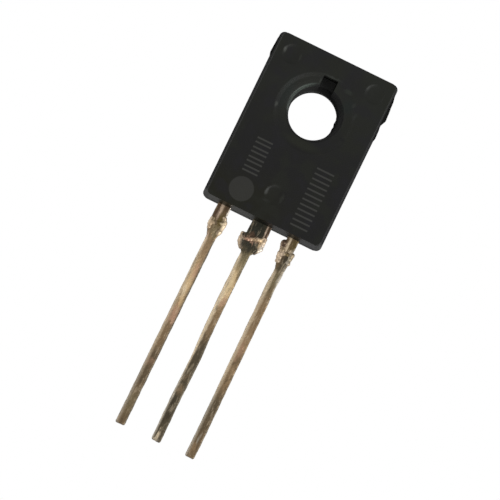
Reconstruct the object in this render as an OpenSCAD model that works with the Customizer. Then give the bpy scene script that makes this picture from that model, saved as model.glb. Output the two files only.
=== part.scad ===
// Thyristor in a flat moulded case, held by one screw, with three leads in a row.
//
// The origin is the axis of the screw hole at the back face. +Z points out of the front face,
// +Y points to the case's top end, and the leads run towards -Y. All sizes are in millimetres.
//
// The case is moulded round one stamped copper frame. The middle lead runs on inside the case as a
// joggled neck into the mounting tab, which lies bare on the back face. The chip is soldered to the
// tab, and two bond wires join it to the posts of the outer leads.

/* [Case] */
// Width across the parting plane
case_w = 7.7; // [7.5:0.01:7.9]
// Length from the lead end to the top end
case_l = 10.92; // [10.6:0.01:11.2]
// Thickness from the back face to the front face
case_t = 2.54; // [2.4:0.01:2.8]
// Height of the parting plane, and of the leads' middle, above the back face
parting_z = 1.27; // [1.15:0.01:1.35]
// Draft of the walls in front of the parting plane, in degrees
front_draft = 7; // [3:0.5:8]
// Draft of the walls behind the parting plane, in degrees
back_draft = 5; // [3:0.5:8]
// Radius of the upright corners at the parting plane
corner_r = 0.32; // [0.2:0.01:0.5]
// Width of the broken edge round the front and back faces
edge_break = 0.05; // [0.02:0.01:0.1]

/* [Screw hole] */
// Distance from the hole's axis to the case's top end
hole_to_top = 3.76; // [3.7:0.01:4]
// Diameter of the straight hole, from the back face to the parting plane
hole_d = 2.94; // [2.8:0.01:3.2]
// Diameter of the flared mouth
mouth_d = 3.36; // [3.25:0.01:3.6]
// Diameter of the shallow round recess about the mouth
recess_d = 4.82; // [4.2:0.01:5.2]
// Depth of the round recess
recess_depth = 0.08; // [0.04:0.01:0.2]
// Width of the locating notch beside the hole
notch_w = 0.91; // [0.6:0.01:1.2]
// Reach of the notch from the hole's axis
notch_reach = 2.3; // [2:0.01:2.6]
// Depth of the notch below the front face
notch_depth = 1.2; // [0.6:0.01:1.4]

/* [Mould marks] */
// Diameter of the ejector-pin marks in the front face
pin_mark_d = 1.2; // [0.8:0.05:1.6]
// Depth of the ejector-pin marks
pin_mark_depth = 0.05; // [0.02:0.01:0.1]
// Distance of the two upper marks' centres from the case's sides
pin_mark_from_side = 1.15; // [1:0.01:1.4]
// Distance of the two upper marks' centres from the top end
pin_mark_from_top = 1.2; // [1.1:0.01:1.4]
// Distance of the lower mark's centre from the lead end
pin_mark_from_lead_end = 1.76; // [1:0.01:2.5]
// Reach of the broken-off mould gate beyond the right side
gate_stub_out = 0.14; // [0.05:0.01:0.25]
// Length of the gate stub along the side
gate_stub_l = 1.85; // [1:0.05:2.2]
// Distance from the top end to the gate stub
gate_stub_from_top = 0.65; // [0.5:0.05:1]
// Thickness of the gate stub, centred on the parting plane
gate_stub_t = 0.8; // [0.3:0.05:1]
// Reach of the vent stub beyond the left side
vent_stub_out = 0.06; // [0.03:0.01:0.15]
// Length of the vent stub along the side
vent_stub_l = 1.3; // [0.8:0.05:1.8]

/* [Leads] */
// Thickness of the copper sheet that the tab and the leads are stamped from
metal_t = 0.5; // [0.4:0.01:0.6]
// Distance between the middle lines of neighbouring leads
lead_pitch = 2.25; // [2.1:0.01:2.54]
// Width of each lead
lead_w = 0.58; // [0.45:0.01:0.7]
// Length of the leads outside the case
lead_l = 14.2; // [3:0.1:17]
// Broken edge at the two corners of each lead's tip
tip_break = 0.06; // [0.02:0.01:0.15]
// Length of the wide shoulders outside the case
shoulder_l = 1.95; // [1.7:0.01:2.5]
// Width of the cathode lead's shoulder
cathode_shoulder_w = 0.82; // [0.76:0.01:0.9]
// Width of the gate lead's shoulder
gate_shoulder_w = 0.72; // [0.7:0.01:0.84]
// Shift of the outer leads' shoulders off their middle lines, towards the cathode side
outer_shoulder_shift = 0.1; // [0:0.01:0.12]
// Width of the middle lead's shoulder
middle_shoulder_w = 1.22; // [1:0.01:1.3]
// Shift of the middle shoulder off its lead's middle line, towards the gate lead
middle_shoulder_shift = 0.12; // [0:0.01:0.2]
// Distance from the case to the stubs of the tie bar that was cut off between the leads
stub_from_case = 0.8; // [0.5:0.01:0.9]
// Length of the tie bar's stubs along the lead
stub_l = 0.55; // [0.3:0.01:0.6]
// Reach of the stub on the cathode lead's right
cathode_stub_out = 0.13; // [0.05:0.01:0.2]
// Reach of the stub on the middle lead's left
middle_stub_out = 0.24; // [0.05:0.01:0.3]
// Reach of the stub on the gate lead's right
gate_stub_reach = 0.07; // [0.05:0.01:0.2]

/* [Tab and posts] */
// Width of the tab's bare face
tab_w = 5.6; // [5:0.05:6]
// Reach of the tab above the hole's axis
tab_above_hole = 2.55; // [2.3:0.05:2.8]
// Reach of the tab below the hole's axis
tab_below_hole = 4.4; // [4.1:0.05:4.7]
// Radius of the tab's corners
tab_corner_r = 0.3; // [0.1:0.05:0.5]
// Clearance in the tab round the plastic lining of the screw hole
tab_hole_d = 3.9; // [3.6:0.05:4.2]
// Reach of the coined flange that locks the tab in the plastic
flange_out = 0.3; // [0.1:0.05:0.4]
// Thickness of the coined flange
flange_t = 0.25; // [0.15:0.05:0.35]
// Width of the neck between the tab and the middle lead
neck_w = 1.4; // [1.2:0.05:1.6]
// Length of the neck's slope from the tab up to the plane of the leads
joggle_l = 1.15; // [0.9:0.05:1.4]
// Width of the outer leads' posts inside the case
post_w = 1.7; // [1.2:0.05:1.8]
// Length of the posts
post_l = 1.3; // [1:0.05:1.5]
// Distance from the case's lead end to the posts
post_from_end = 0.5; // [0.3:0.05:0.7]

/* [Chip and wires] */
// Side of the square chip
chip_w = 1.7; // [1.2:0.05:2]
// Thickness of the chip
chip_t = 0.25; // [0.15:0.01:0.35]
// Distance from the hole's axis down to the chip's middle
chip_below_hole = 3.15; // [3:0.05:3.3]
// Thickness of the solder under the chip
chip_solder_t = 0.05; // [0.03:0.01:0.1]
// Reach of the solder beyond the chip's sides
chip_solder_out = 0.1; // [0.05:0.01:0.2]
// Diameter of the cathode's bond wire
cathode_wire_d = 0.25; // [0.15:0.01:0.38]
// Rise of the cathode wire's loop above the line between its feet
cathode_loop = 0.7; // [0.4:0.05:0.8]
// Diameter of the gate's bond wire
gate_wire_d = 0.13; // [0.1:0.01:0.25]
// Rise of the gate wire's loop above the line between its feet
gate_loop = 0.6; // [0.4:0.05:0.8]

/* [Hidden] */
$fn = 48;
eps = 0.01;
overshoot = 1;

top_y = hole_to_top;
end_y = hole_to_top - case_l;
tip_y = end_y - lead_l;
half_w = case_w / 2;
front_in = (case_t - edge_break - parting_z) * tan(front_draft);
back_in = (parting_z - edge_break) * tan(back_draft);
least_corner_r = 0.02;

lead_z = parting_z - metal_t / 2;
joggle_top_y = -tab_below_hole - joggle_l;
joggle_slope = atan(lead_z / joggle_l);
bend_shift = metal_t * tan(joggle_slope / 2);
neck_root = 0.5;

chip_z = metal_t + chip_solder_t;
chip_top_z = chip_z + chip_t;
post_top_z = lead_z + metal_t;
post_mid_y = end_y + post_from_end + post_l / 2;

// Feet of the bond wires: on the chip, measured from its middle, and on the posts, from theirs
cathode_foot_on_chip = [-0.3, 0.2];
gate_foot_on_chip = [0.55, -0.55];
foot_on_post = 0.15;

// Lumps of solder that run together on a shoulder: x from the lead's middle line, distance from
// the case, height above the leads' middle plane, radius
CATHODE_LUMPS = [[-0.42, 0.95, 0.17, 0.14], [-0.41, 1.14, 0.17, 0.14], [-0.4, 1.32, 0.17, 0.14],
                 [-0.36, 1.49, 0.17, 0.14], [-0.26, 1.18, 0.2, 0.12], [-0.08, 1.12, 0.2, 0.12],
                 [0.1, 1.04, 0.2, 0.12], [0.22, 0.98, 0.18, 0.13], [0.24, 0.68, 0.17, 0.15],
                 [0.34, 0.88, 0.14, 0.16], [0.36, 1.08, 0.14, 0.15], [0.34, 1.28, 0.15, 0.16],
                 [0.3, 1.46, 0.15, 0.16], [0.26, 1.64, 0.16, 0.15]];
ANODE_LUMPS = [[-0.62, 0.98, 0.13, 0.17], [-0.62, 1.2, 0.14, 0.17], [-0.58, 1.4, 0.14, 0.17],
               [-0.5, 1.56, 0.14, 0.17], [-0.42, 1.7, 0.15, 0.15], [-0.44, 1.2, 0.2, 0.13],
               [-0.26, 1.14, 0.21, 0.13], [-0.08, 1.07, 0.21, 0.13], [0.1, 1, 0.21, 0.13],
               [0.28, 0.93, 0.21, 0.13], [0.46, 0.88, 0.2, 0.14], [0.62, 0.74, 0.17, 0.14],
               [0.61, 0.93, 0.16, 0.16], [0.6, 1.13, 0.15, 0.18], [0.6, 1.34, 0.14, 0.19],
               [0.52, 1.52, 0.14, 0.17], [0.43, 1.68, 0.14, 0.15]];
GATE_LUMPS = [[-0.43, 0.4, 0.04, 0.26], [-0.43, 0.61, 0.12, 0.18], [-0.4, 0.82, 0.16, 0.15],
              [-0.4, 1.04, 0.16, 0.15], [-0.38, 1.27, 0.16, 0.16], [-0.34, 1.5, 0.16, 0.16],
              [-0.22, 0.99, 0.19, 0.13], [-0.03, 0.94, 0.19, 0.13], [0.13, 0.92, 0.18, 0.13],
              [0.22, 0.9, 0.16, 0.16], [0.24, 1.13, 0.15, 0.16], [0.22, 1.37, 0.15, 0.17]];

// A rectangle from one corner to the other, with round corners
module round_rect(low, high, r) {
  translate(low + [r, 0]) square(high - low - [2 * r, 0]);
  translate(low + [0, r]) square(high - low - [0, 2 * r]);
  for (x = [low[0] + r, high[0] - r], y = [low[1] + r, high[1] - r]) translate([x, y]) circle(r);
}

// A slab of the case between two heights, whose walls stand in from the parting line by one
// distance at its foot and by another at its head, with cones for the corners
module drafted_slab(z_foot, z_head, in_foot, in_head) {
  slab_h = z_head - z_foot;
  mid_y = (top_y + end_y) / 2;
  for (side = [[0, case_w, case_l], [90, case_l, case_w]])
    translate([0, mid_y, 0]) rotate(side[0])
      rotate([90, 0, 0]) linear_extrude(side[2] - 2 * corner_r, center = true)
        polygon([[-side[1] / 2 + in_foot, z_foot], [side[1] / 2 - in_foot, z_foot],
                 [side[1] / 2 - in_head, z_head], [-side[1] / 2 + in_head, z_head]]);
  for (x = [-1, 1], y = [-1, 1])
    translate([x * (case_w / 2 - corner_r), mid_y + y * (case_l / 2 - corner_r), z_foot])
      cylinder(h = slab_h, r1 = max(corner_r - in_foot, least_corner_r),
               r2 = max(corner_r - in_head, least_corner_r));
}

// The case's block, two drafted halves on the parting plane with broken outer edges
module case_block() {
  drafted_slab(0, edge_break, back_in + edge_break, back_in);
  drafted_slab(edge_break, parting_z, back_in, 0);
  drafted_slab(parting_z, case_t - edge_break, 0, front_in);
  drafted_slab(case_t - edge_break, case_t, front_in, front_in + edge_break);
}

// A rough stub left by the mould: it swells out of the right side and breaks off short
module mould_stub(out, length, from_top, thick) {
  root = 0.3;
  break_l = 0.35;
  translate([half_w, top_y - from_top, parting_z - thick / 2])
    linear_extrude(thick)
      polygon([[-root, 0], [0, 0], [out * 0.65, -length * 0.5], [out, -(length - break_l)],
               [0, -length], [-root, -length]]);
}

module screw_hole() {
  translate([0, 0, -overshoot]) cylinder(h = case_t + 2 * overshoot, d = hole_d);
  mouth_z = case_t - recess_depth;
  translate([0, 0, parting_z])
    cylinder(h = mouth_z - parting_z + eps, d1 = hole_d, d2 = mouth_d);
  translate([0, 0, mouth_z]) cylinder(h = recess_depth + overshoot, d = recess_d);
  translate([-notch_w / 2, 0, case_t - notch_depth])
    cube([notch_w, notch_reach, notch_depth + overshoot]);
}

module pin_marks() {
  mark_x = half_w - pin_mark_from_side;
  for (place = [[-mark_x, top_y - pin_mark_from_top], [mark_x, top_y - pin_mark_from_top],
                [0, end_y + pin_mark_from_lead_end]])
    translate([place[0], place[1], case_t - pin_mark_depth])
      cylinder(h = pin_mark_depth + overshoot, d = pin_mark_d);
}

// Outline of a lead from its root inside the case to its tip. The shoulder reaches left and right
// of the lead's middle line by the first two distances, and the tie bar's stubs by two more.
module lead_plan(left, right, left_stub, right_stub, root_y) {
  stub_top = end_y - stub_from_case;
  stub_end = stub_top - stub_l;
  stub_slope = stub_l / 4;
  shoulder_end = end_y - shoulder_l;
  half = lead_w / 2;
  polygon([[-left, root_y], [-left, stub_top], [-left - left_stub, stub_top - stub_slope],
           [-left - left_stub, stub_end], [-half, shoulder_end], [-half, tip_y + tip_break],
           [-half + tip_break, tip_y], [half - tip_break, tip_y], [half, tip_y + tip_break],
           [half, shoulder_end], [right + right_stub, stub_end],
           [right + right_stub, stub_top - stub_slope], [right, stub_top], [right, root_y]]);
}

// An outer lead about its own middle line: its post, its stem and its outside run
module outer_lead(shoulder_w, stub_out) {
  post_y = end_y + post_from_end;
  translate([0, 0, lead_z]) linear_extrude(metal_t) {
    lead_plan(shoulder_w / 2 + outer_shoulder_shift, shoulder_w / 2 - outer_shoulder_shift,
              0, stub_out, post_y + post_l / 2);
    translate([-post_w / 2, post_y]) square([post_w, post_l]);
  }
}

// The mounting tab, with its bare face down and its coined flange above it
module tab() {
  low = [-tab_w / 2, -tab_below_hole];
  high = [tab_w / 2, tab_above_hole];
  out = [flange_out, flange_out];
  difference() {
    union() {
      linear_extrude(metal_t) round_rect(low, high, tab_corner_r);
      translate([0, 0, metal_t - flange_t]) linear_extrude(flange_t)
        round_rect(low - out, high + out, tab_corner_r + flange_out);
    }
    translate([0, 0, -overshoot]) cylinder(h = metal_t + 2 * overshoot, d = tab_hole_d);
  }
}

// The neck that climbs from the tab to the plane of the leads, one sheet thick all the way
module neck() {
  root_y = -tab_below_hole + neck_root;
  stem_y = end_y + post_from_end;
  translate([-neck_w / 2, 0, 0]) rotate([90, 0, 90]) linear_extrude(neck_w)
    polygon([[root_y, 0], [-tab_below_hole, 0], [joggle_top_y, lead_z], [stem_y, lead_z],
             [stem_y, lead_z + metal_t], [joggle_top_y + bend_shift, lead_z + metal_t],
             [-tab_below_hole + bend_shift, metal_t], [root_y, metal_t]]);
}

// A bond wire: a loop on a circle's arc between two feet that are pressed flat. The feet's middles
// are given on the surfaces that they lie on.
module bond_wire(d, from, to, rise) {
  foot = [2.4 * d, 1.4 * d, 0.6 * d];
  run = norm([to[0] - from[0], to[1] - from[1]]);
  climb = to[2] - from[2];
  chord = norm([run, climb]);
  tilt = atan2(climb, run);
  arc_r = (chord * chord / 4 + rise * rise) / (2 * rise);
  half_arc = asin(chord / 2 / arc_r);
  sink = arc_r - rise;
  translate(from) rotate(atan2(to[1] - from[1], to[0] - from[0])) {
    translate([-foot[0] / 2, -foot[1] / 2, 0]) cube(foot);
    translate([run - foot[0] / 2, -foot[1] / 2, climb]) cube(foot);
    translate([run / 2 + sink * sin(tilt), 0, foot[2] + climb / 2 - sink * cos(tilt)])
      rotate([90, 0, 0]) rotate(90 + tilt - half_arc)
        rotate_extrude(angle = 2 * half_arc, $fn = 96) translate([arc_r, 0]) circle(d / 2, $fn = 24);
  }
}

// A group of solder lumps about one lead's middle line
module solder_lumps(lumps) {
  for (lump = lumps)
    translate([lump[0], end_y - lump[1], parting_z + lump[2]]) sphere(lump[3], $fn = 32);
}

module moulded_case() {
  color("#2a2b28") difference() {
    union() {
      case_block();
      mould_stub(gate_stub_out, gate_stub_l, gate_stub_from_top, gate_stub_t);
      mirror([1, 0, 0]) mould_stub(vent_stub_out, vent_stub_l, edge_break + corner_r, gate_stub_t);
    }
    screw_hole();
    pin_marks();
    anode_frame();
    cathode_lead();
    gate_lead();
    silicon_die();
    die_solder();
    cathode_wire();
    gate_wire();
  }
}

module anode_frame() {
  color("#a58a66") {
    tab();
    neck();
    translate([0, 0, lead_z]) linear_extrude(metal_t)
      lead_plan(middle_shoulder_w / 2 - middle_shoulder_shift,
                middle_shoulder_w / 2 + middle_shoulder_shift, middle_stub_out, 0,
                end_y + post_from_end);
  }
}

module cathode_lead() {
  color("#a8855f") translate([-lead_pitch, 0, 0])
    outer_lead(cathode_shoulder_w, cathode_stub_out);
}

module gate_lead() {
  color("#9a8060") translate([lead_pitch, 0, 0])
    outer_lead(gate_shoulder_w, gate_stub_reach);
}

module die_solder() {
  pad = chip_w + 2 * chip_solder_out;
  color("#b9b9bd") translate([-pad / 2, -chip_below_hole - pad / 2, metal_t])
    cube([pad, pad, chip_solder_t]);
}

module silicon_die() {
  color("#5b606b") translate([-chip_w / 2, -chip_below_hole - chip_w / 2, chip_z])
    cube([chip_w, chip_w, chip_t]);
}

module cathode_wire() {
  color("#d2d3d6") bond_wire(cathode_wire_d,
    [cathode_foot_on_chip[0], -chip_below_hole + cathode_foot_on_chip[1], chip_top_z],
    [-lead_pitch + foot_on_post, post_mid_y, post_top_z], cathode_loop);
}

module gate_wire() {
  color("#d2d3d6") bond_wire(gate_wire_d,
    [gate_foot_on_chip[0], -chip_below_hole + gate_foot_on_chip[1], chip_top_z],
    [lead_pitch - foot_on_post, post_mid_y, post_top_z], gate_loop);
}

module cathode_solder() {
  color("#c9b091") difference() {
    translate([-lead_pitch, 0, 0]) solder_lumps(CATHODE_LUMPS);
    cathode_lead();
  }
}

module anode_solder() {
  color("#bfa584") difference() {
    solder_lumps(ANODE_LUMPS);
    anode_frame();
  }
}

module gate_solder() {
  color("#b3a183") difference() {
    translate([lead_pitch, 0, 0]) solder_lumps(GATE_LUMPS);
    gate_lead();
  }
}

moulded_case();
anode_frame();
cathode_lead();
gate_lead();
silicon_die();
die_solder();
cathode_wire();
gate_wire();
cathode_solder();
anode_solder();
gate_solder();
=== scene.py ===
"""Dresses the thyristor: a flat black moulding with three stained, tinned copper leads."""

import math

import bmesh
import bpy
from mathutils import Matrix, Vector, noise


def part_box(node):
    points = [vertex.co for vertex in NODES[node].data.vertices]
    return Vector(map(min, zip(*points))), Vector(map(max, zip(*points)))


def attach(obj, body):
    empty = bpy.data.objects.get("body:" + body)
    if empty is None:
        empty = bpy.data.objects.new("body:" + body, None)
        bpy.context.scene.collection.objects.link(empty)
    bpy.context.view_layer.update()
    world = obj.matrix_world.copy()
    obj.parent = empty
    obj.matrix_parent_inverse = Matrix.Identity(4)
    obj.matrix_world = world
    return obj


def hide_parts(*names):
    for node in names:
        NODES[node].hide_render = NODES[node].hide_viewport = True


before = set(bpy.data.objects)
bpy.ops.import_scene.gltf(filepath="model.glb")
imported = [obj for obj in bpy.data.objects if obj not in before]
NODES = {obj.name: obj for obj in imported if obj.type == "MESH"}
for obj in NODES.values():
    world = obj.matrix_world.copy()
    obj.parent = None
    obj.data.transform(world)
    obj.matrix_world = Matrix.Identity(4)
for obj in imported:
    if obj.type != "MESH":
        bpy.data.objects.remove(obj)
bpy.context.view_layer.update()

MM = 0.001

# The case, from its box in the frame, but for its width, because its box holds the stubs too.
# The parting plane runs through the middle of the leads.
CASE_LOW, CASE_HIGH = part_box("moulded_case")
CASE_W = 7.7 * MM
TOP_Y, END_Y = CASE_HIGH.y, CASE_LOW.y
CASE_L = TOP_Y - END_Y
CASE_T = CASE_HIGH.z
MID_Y = (TOP_Y + END_Y) / 2
LEAD_FOOT, LEAD_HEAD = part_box("cathode_lead")
PARTING_Z = (LEAD_FOOT.z + LEAD_HEAD.z) / 2
PITCH = 2.25 * MM
CORNER_R = 0.32 * MM
FRONT_IN = 0.15 * MM
BACK_IN = 0.105 * MM
EDGE_R = 0.06 * MM
EDGE_STEPS = 4
PARTING_STEP = 0.018 * MM
PARTING_RISE = 0.02 * MM

# The screw hole and what is moulded about it
HOLE_R = 1.47 * MM
MOUTH_R = 1.68 * MM
RECESS_R = 2.41 * MM
RECESS_Z = CASE_T - 0.08 * MM
NOTCH_W = 0.91 * MM
NOTCH_REACH = 2.3 * MM
NOTCH_Z = CASE_T - 1.2 * MM
PIN_MARK_R = 0.6 * MM
PIN_MARK_Z = CASE_T - 0.05 * MM
PIN_MARKS = [Vector((-2.7, 2.56, 0)) * MM, Vector((2.7, 2.56, 0)) * MM, Vector((0, -5.4, 0)) * MM]
CLEAR = 0.3 * MM  # how far what cuts the case stands past its faces

# Stubs on the side walls: which side, how far out, how long, and how far below the top
STUBS = [(1, 0.14, 1.85, 0.65), (1, 0.04, 0.8, 2.75), (-1, 0.06, 1.3, 0.37)]
STUB_ROOT = 0.3 * MM
STUB_THICK = 0.8 * MM

# A lead is worn from its tip to just inside the case, and overlaps its plain inner end there
WORN_END_Y = END_Y + 0.25 * MM
PLAIN_END_Y = END_Y + 0.15 * MM

# Rebuilt skins: the side of their squares, and how many times they are smoothed
LEAD_SQUARE, LEAD_PASSES = 0.025 * MM, 10
LUMP_SQUARE, LUMP_PASSES = 0.018 * MM, 14
LUMP_JOIN = 0.07 * MM

# How near two vertices lie when they are merged or count as one: loose copies, skins, fine work
WELD = 1e-7
SKIN_WELD = 2e-8
FINE_WELD = 1e-8

# The camera looks almost straight down, leaning a little towards the leads
PICTURE_SIDE = 500
PIXELS_PER_METRE = 17020
LEAN = math.radians(6.5)
SIDE_LEAN = math.radians(-1)
ROLL = math.radians(26)
AIM = Vector((0.135, -8.8, 1.27)) * MM
CAMERA_DISTANCE = 0.45
SENSOR = 36

FLOOR_REACH = 1.5
FLOOR_DROP = 0.004 * MM
DAYLIGHT = 0.5
WHITE = (1, 1, 1, 1)


class Value:
    """A number in a shader: its sums and products add the Math nodes that work them out."""

    def __init__(self, shader, socket):
        self.shader, self.socket = shader, socket

    def _math(self, operation, *terms):
        return self.shader.node("ShaderNodeMath", {"operation": operation}, *terms)[0]

    def __add__(self, other):
        return self._math("ADD", self, other)

    __radd__ = __add__

    def __sub__(self, other):
        return self._math("SUBTRACT", self, other)

    def __rsub__(self, other):
        return self._math("SUBTRACT", other, self)

    def __mul__(self, other):
        return self._math("MULTIPLY", self, other)

    __rmul__ = __mul__

    def __abs__(self):
        return self._math("ABSOLUTE", self)

    def __mod__(self, other):
        return self._math("FLOORED_MODULO", self, other)

    def larger(self, other):
        """The larger of two values."""
        return self._math("MAXIMUM", self, other)

    def step(self, start, end, top=1.0):
        """0 before start and top after end, with a smooth rise between. start may lie past end."""
        settings = {"interpolation_type": "SMOOTHSTEP"}
        if start < end:
            return self.shader.node("ShaderNodeMapRange", settings, self, start, end, 0.0, top)[0]
        return self.shader.node("ShaderNodeMapRange", settings, self, end, start, top, 0.0)[0]

    def band(self, middle, half, soft):
        """1 within half of the middle, falling smoothly to 0 over the soft margin."""
        return abs(self - middle).step(half + soft, half)


class Nodes:
    """The node tree of a world or a material, empty to start with."""

    def __init__(self, owner):
        owner.use_nodes = True
        self.tree = owner.node_tree
        self.tree.nodes.clear()

    def node(self, kind, settings, *inputs, **named):
        """Adds a node, makes its settings, and sets or links its sockets. Returns its outputs."""
        made = self.tree.nodes.new(kind)
        for key, value in settings.items():
            setattr(made, key, value)
        pairs = list(zip(made.inputs, inputs))
        sockets = {socket.name.lower(): socket for socket in made.inputs}
        for key, value in named.items():
            pairs.append((sockets[key.replace("_", " ")], value))
        for socket, value in pairs:
            if isinstance(value, Value):
                self.tree.links.new(value.socket, socket)
            elif value is not None:
                socket.default_value = value
        return [Value(self, output) for output in made.outputs]


class Shader(Nodes):
    """A material's node tree, with the object's own coordinates in millimetres at hand."""

    def __init__(self, name):
        self.material = bpy.data.materials.new(name)
        super().__init__(self.material)
        place = self.node("ShaderNodeTexCoord", {})[3]
        self.place = self.node(
            "ShaderNodeVectorMath", {"operation": "SCALE"}, place, scale=1 / MM
        )[0]
        self.x, self.y, self.z = self.node("ShaderNodeSeparateXYZ", {}, self.place)

    def moved(self, place, scale, shift=(0.0, 0.0, 0.0)):
        """A place whose coordinates are each multiplied and then shifted."""
        return self.node("ShaderNodeVectorMath", {"operation": "MULTIPLY_ADD"}, place, scale, shift)[0]

    def ragged(self, place, along, scale, reach):
        """A place pushed about by noise, as far as reach on each axis. along draws the noise out."""
        over = self.moved(place, (1.0, 1.0 / along, 1.0))
        push = self.node("ShaderNodeTexNoise", {}, over, scale=scale, detail=4.0, roughness=0.65)[1]
        centred = self.moved(push, (2.0, 2.0, 2.0), (-1.0, -1.0, -1.0))
        return self.moved(centred, reach, place)

    def oval_patch(self, colour, shade, place, centre, reach, strength):
        """The colour with an oval of another shade over it, solid in the middle and soft outside."""
        scale = (1 / reach[0], 1 / reach[1], 0.0)
        shift = (-centre[0] / reach[0], -centre[1] / reach[1], 0.0)
        off = self.moved(place, scale, shift)
        far = self.node("ShaderNodeVectorMath", {"operation": "LENGTH"}, off)[1]
        return self.mix(far.step(1.5, 0.3, strength), colour, shade)

    def patched(self, colour, place, stains_and_highlights):
        """The colour with the metal's patches over it, one after another: staining, and painted
        highlights.
        """
        for shade, across, along, half_w, half_l, strength in stains_and_highlights:
            colour = self.oval_patch(
                colour, PALETTE[shade], place, (across, along), (half_w, half_l), strength
            )
        return colour

    def noise(self, scale, detail, roughness=0.5, place=None):
        """Noise from about 0.3 to 0.7, with features of 1/scale millimetres."""
        return self.node(
            "ShaderNodeTexNoise", {}, place or self.place,
            scale=scale, detail=detail, roughness=roughness,
        )[0]

    def mix(self, share, low, high):
        """A colour between two colours, each a colour or a link."""
        for_numbers = [None] * 5
        return self.node("ShaderNodeMix", {"data_type": "RGBA"}, share, *for_numbers, low, high)[2]

    def layered(self, colour, layers):
        """The colour with each layer's shade mixed in by its share, one after another."""
        for share, shade in layers:
            colour = self.mix(share, colour, shade)
        return colour

    def bump(self, height, distance):
        """A normal from a height, where a height of 1 stands distance millimetres proud."""
        return self.node("ShaderNodeBump", {}, distance=distance * MM, height=height)[0]

    def surface(self, **sockets):
        """Ends the tree in a Principled surface with these sockets. Returns the material."""
        shown = self.node("ShaderNodeBsdfPrincipled", {}, **sockets)[0]
        self.node("ShaderNodeOutputMaterial", {}, shown)
        return self.material


def srgb(red, green, blue):
    """A colour from its values on a screen, 0 to 255, as the renderer's linear values."""
    def linear(value):
        share = value / 255
        return share / 12.92 if share < 0.04045 else ((share + 0.055) / 1.055) ** 2.4

    return (linear(red), linear(green), linear(blue), 1.0)


# Shades on the metal
PALETTE = {
    "chalk": srgb(246, 236, 222),
    "cream": srgb(232, 212, 180),
    "gold": srgb(226, 194, 146),
    "straw": srgb(240, 216, 172),
    "beige": srgb(216, 190, 166),
    "rose": srgb(196, 154, 128),
    "sand": srgb(168, 140, 106),
    "tan": srgb(150, 124, 92),
    "ash": srgb(186, 176, 158),
    "moss": srgb(132, 120, 90),
    "olive": srgb(104, 88, 52),
    "brown": srgb(120, 100, 74),
    "umber": srgb(88, 66, 50),
    "bark": srgb(88, 78, 60),
    "soot": srgb(48, 42, 32),
    "pitch": srgb(42, 44, 36),
}

# Shades of the plastic, from its dark walls to the pale laser marks, and painted light at the hole:
# painted shade on its lip and a painted highlight on its mouth
PLASTIC = {
    "lower": srgb(14, 14, 13),
    "upper": srgb(22, 24, 18),
    "olive": srgb(15, 15, 2),
    "deep": srgb(13, 13, 12),
    "violet": srgb(18, 17, 22),
    "green": srgb(20, 22, 13),
    "laser": srgb(51, 51, 48),
    "lip": srgb(7, 7, 7),
    "painted_highlight": srgb(60, 68, 62),
    "wall": srgb(9, 9, 9),
    "bore": srgb(27, 27, 26),
}

# Small marks on the case: painted shade on the right of the recess, painted highlights on the lit
# sides of the pin marks, on the recess's slope and on the notch's edges, and faint tints. Each is its
# shade, its middle, and its half width and half length, in millimetres.
CASE_STAINS_AND_LIGHT = [
    # Painted shade on the right of the recess.
    (srgb(9, 9, 9), (2.15, -0.7), (0.16, 0.12)),
    (srgb(9, 9, 9), (1.6, 0.95), (0.1, 0.1)),
    # Painted highlights: the lit sides of the pin marks, the recess's slope, and the notch's edges.
    (srgb(64, 66, 62), (-3.2, 2.66), (0.08, 0.17)),
    (srgb(38, 40, 36), (2.2, 2.75), (0.08, 0.2)),
    (srgb(60, 61, 58), (-0.52, -5.36), (0.09, 0.22)),
    (srgb(62, 64, 60), (-2.26, -0.5), (0.1, 0.16)),
    (srgb(34, 38, 32), (1.25, 2.0), (0.25, 0.14)),
    (srgb(50, 53, 48), (-0.52, 1.9), (0.07, 0.14)),
    (srgb(40, 43, 38), (0.1, 2.36), (0.5, 0.06)),
    # Faint tints in the plastic's own tone.
    (srgb(27, 29, 20), (0.1, -1.95), (1.2, 0.3)),
    (srgb(17, 24, 20), (-2.0, 0.4), (0.3, 1.0)),
    (srgb(18, 25, 21), (1.6, 1.2), (0.35, 0.45)),
    # Painted highlights on the recess's slope and round the pin marks' rims.
    (srgb(33, 36, 32), (1.88, 1.42), (0.12, 0.12)),
    (srgb(31, 34, 30), (2.22, 0.84), (0.08, 0.22)),
    (srgb(33, 35, 28), (0.46, -5.42), (0.1, 0.26)),
    (srgb(28, 29, 24), (-0.1, -4.86), (0.26, 0.08)),
    (srgb(31, 32, 27), (-0.3, -5.88), (0.22, 0.1)),
    (srgb(32, 35, 28), (-2.2, 2.6), (0.07, 0.2)),
]

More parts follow.
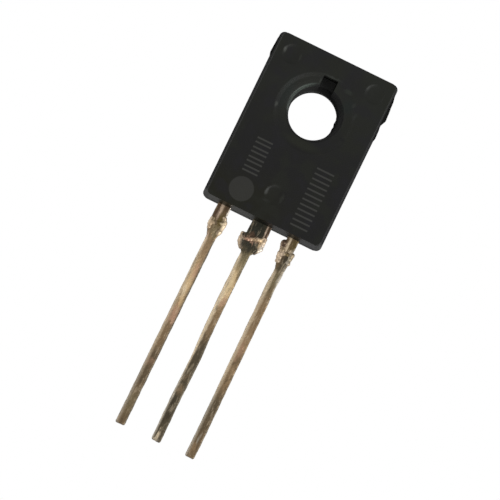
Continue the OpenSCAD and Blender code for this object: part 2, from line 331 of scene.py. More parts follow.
# What is particular to each lead. A bend is a distance from the case and a shift to the right, in
# millimetres. Each patch is its shade, how far across the lead and along from the case its middle
# lies, its half width and half length, in millimetres, and its strength. Most are staining and
# tarnish; the thin pale ones along a lead's edges are painted highlights. left_edge and right_edge are
# the strengths of the painted highlights along the edges, and dark_rim darkens the very right rim.
CATHODE = {
    "middle": -PITCH / MM, "seed": 1.3, "body": "brown", "left_edge": 0.6, "right_edge": 0.8,
    "dark_rim": 0.85,
    "bends": [(0, 0), (4, -0.01), (9, -0.015), (14.2, -0.015)],
    "stains_and_highlights": [
        ("sand", 0.0, 3.0, 0.5, 1.6, 0.8),
        ("gold", -0.02, 5.3, 0.2, 1.8, 1.0),
        ("rose", 0.04, 4.3, 0.18, 0.6, 0.6),
        ("rose", 0.0, 7.1, 0.3, 0.6, 0.75),
        ("cream", -0.04, 5.6, 0.14, 0.5, 0.8),
        ("tan", 0.0, 8.4, 0.3, 0.8, 0.6),
        ("rose", 0.0, 10.3, 0.3, 0.35, 0.3),
        ("bark", 0.02, 9.8, 0.2, 0.4, 0.5),
        ("bark", 0.02, 11.1, 0.22, 0.7, 0.5),
        ("moss", 0.0, 12.8, 0.4, 0.8, 0.5),
        ("umber", -0.36, 0.3, 0.13, 0.8, 0.9),
        ("umber", 0.14, 0.1, 0.2, 0.4, 0.8),
        ("beige", -0.16, 0.2, 0.1, 0.65, 0.9),
        ("chalk", 0.34, 0.2, 0.1, 0.5, 0.9),
        ("olive", 0.06, 0.95, 0.22, 0.45, 0.95),
        ("moss", 0.02, 1.7, 0.26, 0.5, 0.7),
        ("beige", -0.26, 2.4, 0.08, 0.6, 0.7),
    ],
}
ANODE = {
    "middle": 0.0, "seed": 4.1, "body": "bark", "left_edge": 0.8, "right_edge": 0.25,
    "dark_rim": 0.5,
    "bends": [(0, 0), (4, -0.03), (6, -0.03), (7.2, 0), (8.7, 0.06), (11.5, 0.03), (14.2, 0.06)],
    "stains_and_highlights": [
        ("moss", 0.0, 2.5, 0.6, 0.8, 0.9),
        ("tan", 0.04, 6.1, 0.5, 1.5, 0.9),
        ("ash", 0.0, -6.2, 8.0, 4.4, 0.95),
        ("gold", -0.06, 4.2, 0.3, 1.3, 1.0),
        ("straw", -0.05, 4.2, 0.16, 1.0, 0.9),
        ("rose", 0.0, 5.1, 0.2, 0.35, 0.6),
        ("cream", -0.2, 5.6, 0.1, 2.4, 0.8),
        ("cream", -0.24, 8.7, 0.1, 1.6, 0.9),
        ("ash", -0.25, 12.2, 0.09, 2.2, 0.9),
        ("tan", 0.0, 10.0, 0.2, 0.2, 0.3),
        ("tan", 0.0, 10.9, 0.25, 0.3, 0.6),
        ("soot", 0.02, 12.1, 0.25, 0.8, 0.5),
        ("ash", 0.0, 14.2, 0.3, 0.12, 0.5),
        ("cream", 0.02, 13.95, 0.09, 0.28, 0.8),
        ("pitch", -0.02, 0.4, 0.62, 0.75, 0.95),
        ("umber", 0.66, 0.5, 0.12, 0.7, 0.9),
        ("beige", 0.5, 0.25, 0.05, 0.5, 0.9),
        ("umber", -0.1, 0.85, 0.3, 0.25, 0.8),
        ("pitch", -0.05, 1.45, 0.5, 0.38, 0.8),
        ("rose", 0.05, 1.1, 0.5, 0.12, 0.5),
    ],
}
GATE = {
    "middle": PITCH / MM, "seed": 7.7, "body": "brown", "left_edge": 0.75, "right_edge": 0.25,
    "dark_rim": 0.3,
    "bends": [
        (0, 0), (2.2, -0.04), (3, -0.08), (5, -0.05), (8, -0.035), (10.8, 0), (14.2, 0.01),
    ],
    "stains_and_highlights": [
        ("moss", 0.0, 2.8, 0.5, 1.0, 0.8),
        ("tan", 0.0, 4.7, 0.4, 1.3, 0.8),
        ("sand", -0.02, 6.8, 0.35, 1.0, 0.8),
        ("rose", -0.04, 7.3, 0.2, 0.5, 0.4),
        ("tan", 0.0, 9.2, 0.3, 1.0, 0.7),
        ("sand", 0.0, 8.4, 0.3, 0.3, 0.6),
        ("bark", 0.02, 11.0, 0.35, 0.9, 0.7),
        ("bark", 0.0, 12.2, 0.3, 0.4, 0.5),
        ("sand", -0.02, 13.6, 0.24, 0.4, 0.5),
        ("ash", 0.04, 13.0, 0.06, 0.35, 0.7),
        ("ash", 0.24, 2.6, 0.13, 1.0, 1.0),
        ("umber", -0.44, 0.4, 0.14, 0.4, 0.9),
        ("olive", 0.14, 0.35, 0.24, 0.8, 0.9),
        ("cream", -0.22, 0.3, 0.09, 0.75, 0.95),
        ("pitch", 0.0, 1.5, 0.24, 0.7, 0.75),
        ("ash", 0.26, 0.9, 0.14, 0.4, 0.8),
        ("cream", 0.0, 0.85, 0.14, 0.15, 0.7),
    ],
}
# The same for the solder, measured across from the middle of the case. The pale ones at the lumps'
# sides are painted highlights.
SOLDER_STAINS_AND_HIGHLIGHTS = [
    ("bark", 0.0, 1.6, 0.6, 0.5, 0.95),
    ("pitch", -0.4, 1.4, 0.18, 0.4, 1.0),
    ("pitch", 0.4, 1.55, 0.13, 0.35, 1.0),
    ("bark", 2.25, 1.4, 0.34, 0.6, 0.9),
    ("ash", 2.44, 1.3, 0.13, 0.4, 0.9),
    ("moss", -2.25, 1.4, 0.34, 0.6, 0.8),
    ("sand", -2.6, 1.2, 0.15, 0.5, 0.5),
    ("moss", -2.6, 0.95, 0.14, 0.16, 0.8),
    ("olive", -2.2, 1.12, 0.2, 0.3, 1.0),
    ("moss", -2.0, 0.9, 0.16, 0.3, 0.7),
    ("cream", -1.88, 1.3, 0.1, 0.5, 0.6),
    ("soot", -0.62, 1.02, 0.16, 0.14, 1.0),
    ("umber", -0.4, 1.2, 0.2, 0.14, 0.8),
    ("rose", -0.2, 1.12, 0.3, 0.14, 0.8),
    ("sand", 0.2, 1.0, 0.3, 0.14, 0.8),
    ("gold", 0.48, 1.05, 0.14, 0.3, 0.6),
    ("chalk", 0.72, 1.45, 0.12, 0.4, 0.9),
    ("umber", 1.78, 0.44, 0.26, 0.3, 1.0),
    ("olive", 1.85, 0.8, 0.14, 0.16, 0.7),
    ("moss", 2.56, 1.0, 0.16, 0.4, 0.6),
    ("olive", 2.22, 0.98, 0.16, 0.14, 0.9),
]


def case_plastic():
    """Black moulded epoxy: fine eroded grain, faint clouds of tone, pale laser marks, and painted
    shade and painted highlights about the hole, the notch and the pin marks.
    """
    s = Shader("case_plastic")
    clouds = s.noise(0.5, 3.0)
    tint = s.noise(0.8, 2.0, 0.5, s.moved(s.place, (1.0, 1.0, 1.0), (7.0, 3.0, 0.0)))
    grain = s.noise(24.0, 3.0, 0.6)
    coarse = s.noise(7.0, 3.0, 0.6)
    marks = laser_marks(s)
    from_axis = s.node(
        "ShaderNodeVectorMath", {"operation": "LENGTH"}, s.moved(s.place, (1.0, 1.0, 0.0))
    )[1]
    dark_lip, painted_highlight, dull = hole_tones(s, from_axis, coarse)
    walls = side_walls(s, from_axis)
    base = s.mix(s.y.step(-4.0, 2.5), PLASTIC["lower"], PLASTIC["upper"])
    base = s.layered(base, [
        (s.y.step(-3.6, -6.2) * s.x.step(2.6, 0.0), PLASTIC["olive"]),
        (clouds.step(0.4, 0.65) * 0.6, PLASTIC["deep"]),
        (tint.step(0.52, 0.66) * 0.5, PLASTIC["violet"]),
        (tint.step(0.5, 0.38) * 0.6, PLASTIC["green"]),
        (marks * (grain.step(0.2, 0.6) * 0.35 + 0.65), PLASTIC["laser"]),
        # Painted shade on the right of the hole's lip, then a painted highlight on the left of its
        # mouth.
        (dark_lip, PLASTIC["lip"]),
        (painted_highlight, PLASTIC["painted_highlight"]),
        (walls * 0.8, PLASTIC["wall"]),
        (dull * 0.8, PLASTIC["bore"]),
    ])
    ragged = s.ragged(s.place, 1.0, 5.0, (0.12, 0.12, 0.0))
    # Painted shade, painted highlights and faint tints, laid over the plastic.
    for shade, middle, reach in CASE_STAINS_AND_LIGHT:
        base = s.oval_patch(base, shade, ragged, middle, reach, 0.8)
    return s.surface(
        base_color=base,
        roughness=clouds * 0.1 + grain * 0.12 + 0.34 + marks * 0.1 + walls.larger(dull * 0.8) * 0.6,
        specular_ior_level=0.29,
        normal=s.bump(grain * 0.6 + coarse * 0.5 + clouds * 0.5 + marks * 0.25, 0.012),
    )


def hole_tones(s, from_axis, coarse):
    """How far the plastic at the screw hole is painted shade on the right of its lip, a pale painted
    highlight on the left of its mouth, or dull.
    """
    mouth = MOUTH_R / MM
    lip = from_axis.step(mouth + 0.1, mouth + 0.04)
    # Painted shade on the right side of the lip.
    dark_lip = lip * (s.x + s.y * 0.5).step(-0.9, 0.1)
    # A painted highlight in a crescent on the left of the mouth, broken up by noise.
    painted_highlight = from_axis.band(s.y * 0.06 + mouth - 0.06, 0.05, 0.06) * coarse.step(0.25, 0.5)
    painted_highlight = painted_highlight * (s.x - s.y * 0.3).step(-0.8, -1.5) * s.y.step(-0.9, -0.3)
    bore = from_axis.step(mouth + 0.02, mouth - 0.02)
    lit_rim = lip * (s.x * 0.8 + s.y).step(0.2, 1.0)
    return dark_lip, painted_highlight, bore.larger(lit_rim) * (1 - painted_highlight)


def side_walls(s, from_axis):
    """1 on the case's walls below the front edge, but 0 at the lead end and in the screw hole."""
    front, end = CASE_T / MM, END_Y / MM
    walls = s.z.step(front - 0.05, front - 0.12) * from_axis.step(2.7, 3.1)
    return walls * s.y.step(end + 0.25, end + 0.6)


def laser_marks(s):
    """Plain bars in two columns that read up the case, and a plain dot at the first lead."""
    front = CASE_T / MM
    face = s.z.step(front - 0.12, front - 0.09)
    left = bar_column(s, middle=-1.9, half_w=0.48, top=-2.58, pitch=0.6, count=4)
    right = bar_column(s, middle=2.1, half_w=0.54, top=-2.68, pitch=0.66, count=6)
    off_x, off_y = s.x + 1.92, s.y + 5.92
    dot = (off_x * off_x + off_y * off_y).step(0.6, 0.5)
    return left.larger(right).larger(dot * 0.6) * face


def bar_column(s, middle, half_w, top, pitch, count):
    """A column of thin bars in pairs, one pair to each step of the pitch down from the top."""
    bar_half, soft, end_soft = 0.035, 0.03, 0.02
    half_l = pitch * count / 2
    inside = s.y.band(top - half_l, half_l - end_soft, end_soft)
    along = (s.y - top) % pitch
    pair = along.band(0.16, bar_half, soft).larger(along.band(pitch - 0.17, bar_half, soft))
    return s.x.band(middle, half_w, soft) * (pair * inside)


def lead_metal(name, lead):
    """Tinned copper that has been soldered and handled: staining and streaks, with painted highlights
    along its left and right edges.
    """
    s = Shader(name)
    local = s.moved(s.place, (1.0, -1.0, 1.0), (-lead["middle"], END_Y / MM, lead["seed"]))
    across, along, _ = s.node("ShaderNodeSeparateXYZ", {}, local)
    streaks = s.noise(7.0, 4.0, 0.7, s.moved(local, (1.0, 0.16, 1.0)))
    specks = s.noise(16.0, 4.0, 0.7, s.moved(local, (1.0, 0.6, 1.0)))
    ragged = s.ragged(local, 3.0, 4.0, (0.16, 0.9, 0.0))
    past_shoulder = along.step(1.9, 2.3)
    # Painted highlights along the lead's left and right edges; the rim darkens its very right edge.
    left = across.step(-0.08, -0.24) * (streaks.step(0.3, 0.6) * 0.5 + 0.5)
    right = across.step(0.16, 0.27) * (streaks.step(0.65, 0.4) * 0.5 + 0.3)
    rim = across.step(0.19, 0.23) * past_shoulder
    left_edge_highlight = s.mix(along.step(8.5, 11.5), PALETTE["cream"], PALETTE["ash"])
    colour = s.patched(PALETTE[lead["body"]], ragged, lead["stains_and_highlights"])
    colour = s.layered(colour, [
        (left * past_shoulder * lead["left_edge"], left_edge_highlight),
        (right * past_shoulder * lead["right_edge"], PALETTE["ash"]),
        (streaks.step(0.54, 0.68) * 0.42, PALETTE["soot"]),
        (streaks.step(0.46, 0.34) * 0.28, PALETTE["cream"]),
        (specks.step(0.56, 0.7) * 0.45, PALETTE["soot"]),
        (rim * lead["dark_rim"], PALETTE["bark"]),
    ])
    return s.surface(
        base_color=colour,
        metallic=0.7,
        roughness=specks * 0.35 + streaks * 0.2 + 0.16,
        normal=s.bump(streaks * 0.8 + specks * 0.4, 0.022),
    )


def old_solder():
    """Solder and dross that cling to the shoulders: staining, pale and dark patches at random, and
    painted highlights at the lumps' sides.
    """
    s = Shader("old_solder")
    rough = s.noise(4.0, 4.0, 0.6)
    fine = s.noise(18.0, 3.0, 0.6)
    local = s.moved(s.place, (1.0, -1.0, 1.0), (0.0, END_Y / MM, 0.0))
    ragged = s.ragged(local, 1.0, 3.5, (0.14, 0.14, 0.0))
    colour = s.mix(0.5, PALETTE["cream"], PALETTE["beige"])
    colour = s.patched(colour, ragged, SOLDER_STAINS_AND_HIGHLIGHTS)
    colour = s.layered(colour, [
        (rough.step(0.53, 0.66) * 0.6, PALETTE["umber"]),
        (rough.step(0.44, 0.34) * 0.4, PALETTE["cream"]),
        (fine.step(0.58, 0.7) * 0.35, PALETTE["soot"]),
    ])
    return s.surface(
        base_color=colour,
        metallic=0.6,
        roughness=fine * 0.3 + 0.38,
        normal=s.bump(rough + fine * 0.15, 0.012),
    )


def plain_metal(name, colour, rough, scale):
    """Metal with light drawn or rolled marks."""
    s = Shader(name)
    marks = s.noise(scale, 4.0, 0.6, s.moved(s.place, (1.0, 0.25, 1.0)))
    darker = tuple(channel * 0.75 for channel in colour[:3]) + (1.0,)
    return s.surface(
        base_color=s.mix(marks.step(0.35, 0.65), darker, colour),
        metallic=1.0,
        roughness=marks * 0.2 + rough,
        normal=s.bump(marks, 0.006),
    )


def silicon():
    """A polished grey chip."""
    s = Shader("silicon")
    marks = s.noise(4.0, 3.0)
    return s.surface(
        base_color=s.mix(marks, srgb(70, 74, 84), srgb(96, 100, 112)),
        roughness=marks * 0.1 + 0.18,
        metallic=0.4,
    )


def piece_from(bm, name):
    """Turns a bmesh into an object of that name."""
    mesh = bpy.data.meshes.new(name)
    bm.to_mesh(mesh)
    bm.free()
    made = bpy.data.objects.new(name, mesh)
    bpy.context.scene.collection.objects.link(made)
    return made


def coat(made, material):
    """Gives a piece its one material."""
    made.data.materials.clear()
    made.data.materials.append(material)


def smooth(made, angle=32, flat_faces=True):
    """Shades a piece smooth across edges flatter than the angle, and keeps its flat faces flat."""
    bm = bmesh.new()
    bm.from_mesh(made.data)
    bmesh.ops.remove_doubles(bm, verts=bm.verts, dist=SKIN_WELD)
    for face in bm.faces:
        face.smooth = True
    for edge in bm.edges:
        edge.smooth = edge.calc_face_angle(0) < math.radians(angle)
    bm.to_mesh(made.data)
    bm.free()
    own_normals = made.data.attributes.get("custom_normal")
    if own_normals:
        made.data.attributes.remove(own_normals)
    if flat_faces:
        weighted = made.modifiers.new("flat_faces", "WEIGHTED_NORMAL")
        weighted.keep_sharp = True


def apply_modifiers(made):
    """Turns what an object's modifiers make of it into its own mesh."""
    graph = bpy.context.evaluated_depsgraph_get()
    mesh = bpy.data.meshes.new_from_object(made.evaluated_get(graph))
    made.modifiers.clear()
    made.data = mesh


def carve(body, cutters, operation="DIFFERENCE"):
    """Cuts each cutter out of the body, or joins it on, and clears the cutter away."""
    for cutter in cutters:
        step = body.modifiers.new("carve", "BOOLEAN")
        step.operation, step.solver, step.object = operation, "EXACT", cutter
        apply_modifiers(body)
        bpy.data.objects.remove(cutter)


def turned(profile, place, steps):
    """A closed shape turned about a vertical axis from (radius, height) points on its outline."""
    bm = bmesh.new()
    verts = [bm.verts.new((radius, 0, height)) for radius, height in profile]
    edges = [bm.edges.new(pair) for pair in zip(verts, verts[1:])]
    bmesh.ops.spin(
        bm, geom=verts + edges, cent=(0, 0, 0), axis=(0, 0, 1), angle=math.tau,
        steps=steps, use_merge=True,
    )
    bmesh.ops.remove_doubles(bm, verts=bm.verts, dist=WELD)
    bmesh.ops.recalc_face_normals(bm, faces=bm.faces)
    bmesh.ops.translate(bm, verts=bm.verts, vec=place)
    return piece_from(bm, "cutter")


def verts_in(drawn):
    """The vertices in what an operator made."""
    return [item for item in drawn if isinstance(item, bmesh.types.BMVert)]


def raise_face(bm, face, height, wall_in, was_in):
    """Draws the face up to a height while its walls step in. Returns the new face."""
    drawn = bmesh.ops.extrude_face_region(bm, geom=[face])["geom"]
    bmesh.ops.delete(bm, geom=[face], context="FACES_ONLY")
    verts = verts_in(drawn)
    shift = height - verts[0].co.z
    bmesh.ops.translate(bm, verts=verts, vec=(0, 0, shift))
    narrower = (CASE_W / 2 - wall_in) / (CASE_W / 2 - was_in)
    shorter = (CASE_L / 2 - wall_in) / (CASE_L / 2 - was_in)
    centre = Matrix.Translation((0, -MID_Y, 0))
    bmesh.ops.scale(bm, verts=verts, vec=(narrower, shorter, 1), space=centre)
    return next(item for item in drawn if isinstance(item, bmesh.types.BMFace))


def half_case(levels, name):
    """One half of the case's block: its outline at the parting plane, drawn through the levels."""
    bm = bmesh.new()
    bmesh.ops.create_grid(bm, x_segments=1, y_segments=1, size=0.5)
    bmesh.ops.scale(bm, verts=bm.verts, vec=(CASE_W, CASE_L, 1))
    bmesh.ops.translate(bm, verts=bm.verts, vec=(0, MID_Y, PARTING_Z))
    bmesh.ops.bevel(
        bm, geom=bm.verts, offset=CORNER_R, segments=7, affect="VERTICES", profile=0.5, material=-1
    )
    face, was_in = bm.faces[:][0], 0
    face.copy()  # stays behind and closes the half at the parting plane
    for height, wall_in in levels:
        face = raise_face(bm, face, height, wall_in, was_in)
        was_in = wall_in
    bmesh.ops.remove_doubles(bm, verts=bm.verts, dist=FINE_WELD)
    bmesh.ops.recalc_face_normals(bm, faces=bm.faces)
    return piece_from(bm, name)


def rounded_end(z, wall_in, towards):
    """Levels that carry a wall over a rounded edge onto the flat face at height z."""
    levels = []
    for step in range(EDGE_STEPS + 1):
        turn = math.pi / 2 * step / EDGE_STEPS
        levels.append((
            z - towards * EDGE_R * (1 - math.sin(turn)),
            wall_in + EDGE_R * (1 - math.cos(turn)),
        ))
    return levels


def moulded_case(plastic):
    """The black moulding: two drafted halves, the hole and its recess, marks, stubs and pockets."""
    front = [(PARTING_Z + PARTING_RISE, PARTING_STEP)] + rounded_end(CASE_T, FRONT_IN, 1)
    back = rounded_end(0, BACK_IN, -1)
    body = half_case(front, "moulded_case_skin")
    carve(body, [half_case(back, "cutter")], "UNION")
    carve(body, [mould_stub(*stub) for stub in STUBS], "UNION")
    carve(body, [hole_shape(), notch_shape()] + [pin_mark_shape(place) for place in PIN_MARKS])
    inner = ["cathode_lead", "gate_lead", "silicon_die", "die_solder", "cathode_wire", "gate_wire"]
    carve(body, [node_shape(name) for name in inner] + [node_shape("anode_frame", open_back=True)])
    coat(body, plastic)
    smooth(body)
    return body


def node_shape(name, open_back=False):
    """A merged copy of a node to cut with. open_back drops what lies on the back face below it."""
    bm = bmesh.new()
    bm.from_mesh(NODES[name].data)
    bmesh.ops.remove_doubles(bm, verts=bm.verts, dist=WELD)
    if open_back:
        for vert in bm.verts:
            if vert.co.z < 10 * WELD:
                vert.co.z = -0.1 * MM
    return piece_from(bm, "cutter")


def hole_shape():
    """What the mould's core leaves out: the hole, its flared mouth and the recess round it."""
    above = CASE_T + CLEAR
    rim = 0.07 * MM
    slope = 0.32 * MM
    step = 0.05 * MM
    foot, depth = RECESS_R + 0.06 * MM - slope, CASE_T - RECESS_Z
    hole = [
        (0, -CLEAR), (HOLE_R + rim + CLEAR, -CLEAR), (HOLE_R + rim, 0),
        (HOLE_R + rim * 0.3, rim * 0.3), (HOLE_R, rim), (HOLE_R, PARTING_Z - step),
        (HOLE_R, PARTING_Z), (HOLE_R + 0.01 * MM, PARTING_Z + step),
    ]
    mouth = [
        (MOUTH_R - rim * 0.2, RECESS_Z - rim), (MOUTH_R + rim * 0.3, RECESS_Z - rim * 0.3),
        (MOUTH_R + rim, RECESS_Z),
    ]
    recess = [
        (foot, RECESS_Z), (foot + slope * 0.2, RECESS_Z + depth * 0.15),
        (foot + slope * 0.8, RECESS_Z + depth * 0.85), (foot + slope, CASE_T),
        (foot + slope + CLEAR, above), (0, above),
    ]
    made = turned(hole + mouth + recess, (0, 0, 0), 128)
    for vert in made.data.vertices:
        if abs(vert.co.z - PARTING_Z) < WELD:
            turn = math.degrees(math.atan2(vert.co.y, vert.co.x))
            vert.co.xy *= 1 - flash_reach(turn) / HOLE_R
    return made


def flash_reach(turn):
    """How far the thin flash at the parting plane closes the hole in, at a turn in degrees."""
    start, end, peak_turn = -35, 118, 3
    wide = max(0, min(1, (turn - start) / 25, (end - turn) / 30))
    peak = max(0, 1 - abs(turn - peak_turn) / 22)
    ragged = 0.5 + noise.noise(Vector((turn / 9, 0, 0)))
    return (0.075 * wide + 0.05 * peak + 0.03 * wide * ragged) * MM


def notch_shape():
    """The deep locating notch at the recess's top, with its edges broken."""
    low = Vector((-NOTCH_W / 2, 0, NOTCH_Z))
    high = Vector((NOTCH_W / 2, NOTCH_REACH, CASE_T + CLEAR))
    bm = bmesh.new()
    bmesh.ops.create_cube(bm, size=1)
    bmesh.ops.scale(bm, verts=bm.verts, vec=high - low)
    bmesh.ops.translate(bm, verts=bm.verts, vec=(low + high) / 2)
    bmesh.ops.bevel(
        bm, geom=bm.edges, offset=0.05 * MM, segments=3, affect="EDGES", profile=0.5, material=-1
    )
    return piece_from(bm, "cutter")


def pin_mark_shape(place):
    """The shallow dish that an ejector pin leaves."""
    above, spread = 0.2 * MM, 0.2 * MM
    dish = 0.1 * MM
    outer_r = PIN_MARK_R + 0.04 * MM
    profile = [
        (0, PIN_MARK_Z), (PIN_MARK_R - 2 * dish, PIN_MARK_Z + 0.002 * MM),
        (PIN_MARK_R - dish, PIN_MARK_Z + 0.014 * MM), (PIN_MARK_R - dish * 0.4, CASE_T - 0.018 * MM),
        (PIN_MARK_R, CASE_T - 0.004 * MM), (outer_r, CASE_T),
        (outer_r + spread, CASE_T + above), (0, CASE_T + above),
    ]
    return turned(profile, place, 64)


def mould_stub(side, out, length, from_top):
    """A rough stub on a side wall that swells and then breaks off short."""
    full_at, break_off, taper, grain = 0.78, 0.16, 0.25, 0.18
    bm = bmesh.new()
    bmesh.ops.create_grid(bm, x_segments=8, y_segments=24, size=0.5)
    drawn = bmesh.ops.extrude_face_region(bm, geom=bm.faces[:])["geom"]
    bmesh.ops.translate(bm, verts=verts_in(drawn), vec=(0, 0, 1))
    bmesh.ops.recalc_face_normals(bm, faces=bm.faces)
    for vert in bm.verts:
        outward, along, up = vert.co.x + 0.5, vert.co.y + 0.5, vert.co.z - 0.5
        swell = min(1, along / full_at) ** 0.8 * min(1, (1 - along) / break_off)
        rough = noise.noise(Vector((vert.co.x, vert.co.y * 5, vert.co.z * 3))) * grain
        reach = out * MM * max(0, swell + rough * (swell > 0.05)) * outward
        vert.co = Vector((
            side * (CASE_W / 2 - STUB_ROOT + outward * STUB_ROOT + reach),
            TOP_Y - from_top * MM - along * length * MM,
            PARTING_Z + up * STUB_THICK * (1 - taper * outward),
        ))
    bmesh.ops.recalc_face_normals(bm, faces=bm.faces)
    return piece_from(bm, "cutter")


def part_of(node, cut, keep_inner):
    """The node's shape on one side of a cut across the leads, closed off."""
    bm = bmesh.new()
    bm.from_mesh(NODES[node].data)
    bmesh.ops.remove_doubles(bm, verts=bm.verts, dist=WELD)
    bmesh.ops.bisect_plane(
        bm, geom=bm.verts[:] + bm.edges[:] + bm.faces[:], dist=FINE_WELD,
        plane_co=(0, cut, 0), plane_no=(0, 1, 0), clear_outer=not keep_inner, clear_inner=keep_inner,
    )
    bmesh.ops.holes_fill(bm, edges=[edge for edge in bm.edges if edge.is_boundary])
    return piece_from(bm, "lead_part")


def soften(bm, verts, passes):
    """Smooths vertices again and again, to take the steps out of a rebuilt skin."""
    for _ in range(passes):
        bmesh.ops.smooth_vert(
            bm, verts=verts, factor=0.5, use_axis_x=True, use_axis_y=True, use_axis_z=True
        )
    bm.normal_update()


def rebuilt(made, size):
    """Rebuilds a piece's skin from small even squares."""
    remesh = made.modifiers.new("even_skin", "REMESH")
    remesh.mode, remesh.voxel_size = "VOXEL", size
    apply_modifiers(made)


def swollen(made, reach):
    """Moves a piece's skin outwards, so that the creases between lumps close up."""
    bm = bmesh.new()
    bm.from_mesh(made.data)
    bm.normal_update()
    for vert in bm.verts:
        vert.co += vert.normal * reach
    bm.to_mesh(made.data)
    bm.free()


def bend_at(bends, distance):
    """The lead's sideways shift at a distance from the case, smooth between the given ones."""
    for (near, before), (far, after) in zip(bends, bends[1:]):
        if distance <= far:
            share = max(0, (distance - near) / (far - near))
            return before + (after - before) * share * share * (3 - 2 * share)
    return bends[-1][1]


def worn_lead(node, name, material, bends):
    """A lead whose run outside the case is softened, a little bent and uneven with old tin."""
    tin_reach, grit_reach, fade = 0.022, 0.01, 0.4
    made = part_of(node, WORN_END_Y, keep_inner=False)
    made.name = name
    rebuilt(made, LEAD_SQUARE)
    bm = bmesh.new()
    bm.from_mesh(made.data)
    outside = [vert for vert in bm.verts if vert.co.y < END_Y]
    soften(bm, outside, LEAD_PASSES)
    for vert in outside:
        here = vert.co / MM
        distance = (END_Y - vert.co.y) / MM
        share = min(1, distance / fade)
        tin = noise.noise(Vector((here.x * 3, here.y * 1.6, here.z * 3))) * tin_reach
        grit = noise.noise(here * 9) * grit_reach
        vert.co += vert.normal * (tin + grit) * share * MM
        vert.co.x += bend_at(bends, distance) * MM
    bm.to_mesh(made.data)
    bm.free()
    carve(made, [part_of(node, PLAIN_END_Y, keep_inner=True)], "UNION")
    coat(made, material)
    smooth(made, 40, flat_faces=False)
    return made


def solder_lump(node, name, material, bends):
    """Lumps of solder from their node, roughened and run together."""
    sink, swell_reach, grit_reach = -0.054, 0.06, 0.008
    made = node_shape(node)
    made.name = name
    rebuilt(made, LUMP_SQUARE)
    swollen(made, LUMP_JOIN)
    rebuilt(made, LUMP_SQUARE)
    bm = bmesh.new()
    bm.from_mesh(made.data)
    soften(bm, bm.verts, LUMP_PASSES)
    for vert in bm.verts:
        here = vert.co / MM
        swell = noise.noise(here * 2.6) * swell_reach
        grit = noise.noise(here * 7) * grit_reach
        vert.co += vert.normal * (sink + swell + grit) * MM
        vert.co.x += bend_at(bends, (END_Y - vert.co.y) / MM) * MM
    bm.to_mesh(made.data)
    bm.free()
    coat(made, material)
    made.data.shade_smooth()
    return made


def seat(made, node):
    """The piece rides on the part and stands for its node, which is hidden."""
    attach(made, "root")
    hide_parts(node)


def floor():
    """A white floor that keeps the part's soft shadow. It is clear from below, and lets daylight
    through to the back face that lies on it."""
    bm = bmesh.new()
    bmesh.ops.create_grid(bm, x_segments=1, y_segments=1, size=FLOOR_REACH)
    bmesh.ops.translate(bm, verts=bm.verts, vec=(0, 0, -FLOOR_DROP))
    s = Shader("floor_white")
    facts = s.node("ShaderNodeLightPath", {})
    seen, ray_length = facts[0], facts[7]
    paint = s.node("ShaderNodeBsdfDiffuse", {}, color=(0.9, 0.9, 0.9, 1))[0]
    glow = s.node("ShaderNodeEmission", {}, color=WHITE, strength=1.0)[0]
    glow_share = 0.93
    shown = s.node("ShaderNodeMixShader", {}, seen * glow_share, paint, glow)[0]
    clear = s.node("ShaderNodeBsdfTransparent", {})[0]
    below = s.node("ShaderNodeNewGeometry", {})[6]
    under_part = ray_length.step(0.03 * MM, 0.02 * MM)
    both = s.node("ShaderNodeMixShader", {}, below.larger(under_part), shown, clear)[0]
    s.node("ShaderNodeOutputMaterial", {}, both)
    made = piece_from(bm, "floor")
    coat(made, s.material)


def surroundings():
    """White to the eye, and a plain even light on the part."""
    world = bpy.data.worlds.new("surroundings")
    bpy.context.scene.world = world
    n = Nodes(world)
    seen = n.node("ShaderNodeLightPath", {})[0]
    daylight = n.node("ShaderNodeBackground", {}, WHITE, DAYLIGHT)[0]
    backdrop = n.node("ShaderNodeBackground", {}, WHITE, 1.0)[0]
    both = n.node("ShaderNodeMixShader", {}, seen, daylight, backdrop)[0]
    n.node("ShaderNodeOutputWorld", {}, both)


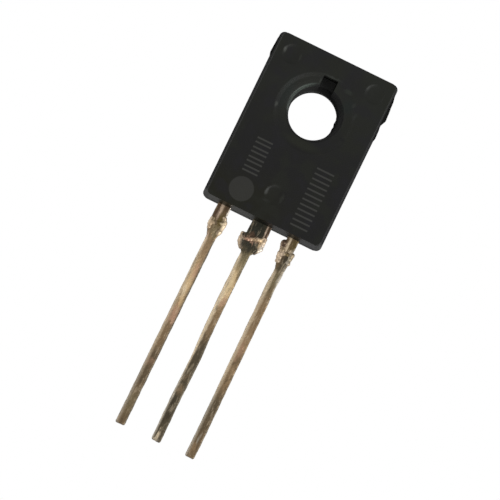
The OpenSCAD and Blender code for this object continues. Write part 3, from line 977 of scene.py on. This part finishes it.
def lamp(name, place, power, size):
    """A soft square lamp that faces the part."""
    data = bpy.data.lights.new(name, "AREA")
    data.shape, data.size, data.energy = "SQUARE", size, power
    made = bpy.data.objects.new(name, data)
    made.location = place
    aim = Vector((0, MID_Y, 0)) - Vector(place)
    made.rotation_mode = "QUATERNION"
    made.rotation_quaternion = aim.to_track_quat("-Z", "Y")
    bpy.context.scene.collection.objects.link(made)


def camera():
    """A long lens that looks down on the part as it lies, with the leads towards the lower left."""
    back = Vector((math.sin(SIDE_LEAN), -math.sin(LEAN), 1))
    back.z = math.sqrt(1 - back.x ** 2 - back.y ** 2)
    along = Vector((0, 1, 0))
    along = (along - along.dot(back) * back).normalized()
    across = along.cross(back)
    right = math.cos(ROLL) * across + math.sin(ROLL) * along
    up = back.cross(right)
    data = bpy.data.cameras.new("camera")
    data.sensor_width = SENSOR
    data.lens = SENSOR * CAMERA_DISTANCE * PIXELS_PER_METRE / PICTURE_SIDE
    data.clip_start, data.clip_end = 0.05, 10
    made = bpy.data.objects.new("camera", data)
    turn = Matrix((right, up, back)).transposed()
    made.matrix_world = Matrix.Translation(AIM + back * CAMERA_DISTANCE) @ turn.to_4x4()
    bpy.context.scene.collection.objects.link(made)
    bpy.context.scene.camera = made


def dress():
    """Makes every visible piece, and gives the ones inside the case their materials."""
    seat(moulded_case(case_plastic()), "moulded_case")
    solder = old_solder()
    leads = [
        ("cathode_lead", "cathode_solder", "cathode_copper", CATHODE),
        ("anode_frame", "anode_solder", "frame_copper", ANODE),
        ("gate_lead", "gate_solder", "gate_copper", GATE),
    ]
    for node, lumps, slot, lead in leads:
        metal = lead_metal(slot, lead)
        seat(worn_lead(node, node + "_worn", metal, lead["bends"]), node)
        seat(solder_lump(lumps, lumps + "_lumps", solder, lead["bends"]), lumps)
    wire = plain_metal("bond_wire", srgb(225, 226, 230), rough=0.15, scale=20.0)
    coat(NODES["silicon_die"], silicon())
    coat(NODES["die_solder"], plain_metal("die_solder", srgb(180, 180, 184), 0.35, 8.0))
    coat(NODES["cathode_wire"], wire)
    coat(NODES["gate_wire"], wire)


bpy.context.scene.view_settings.view_transform = "Standard"
dress()
floor()
surroundings()
camera()
lamp("key", (0.4, -0.14, 0.3), 1.85, 0.25)
lamp("low_left", (-0.4, 0.05, 0.2), 0.55, 0.3)
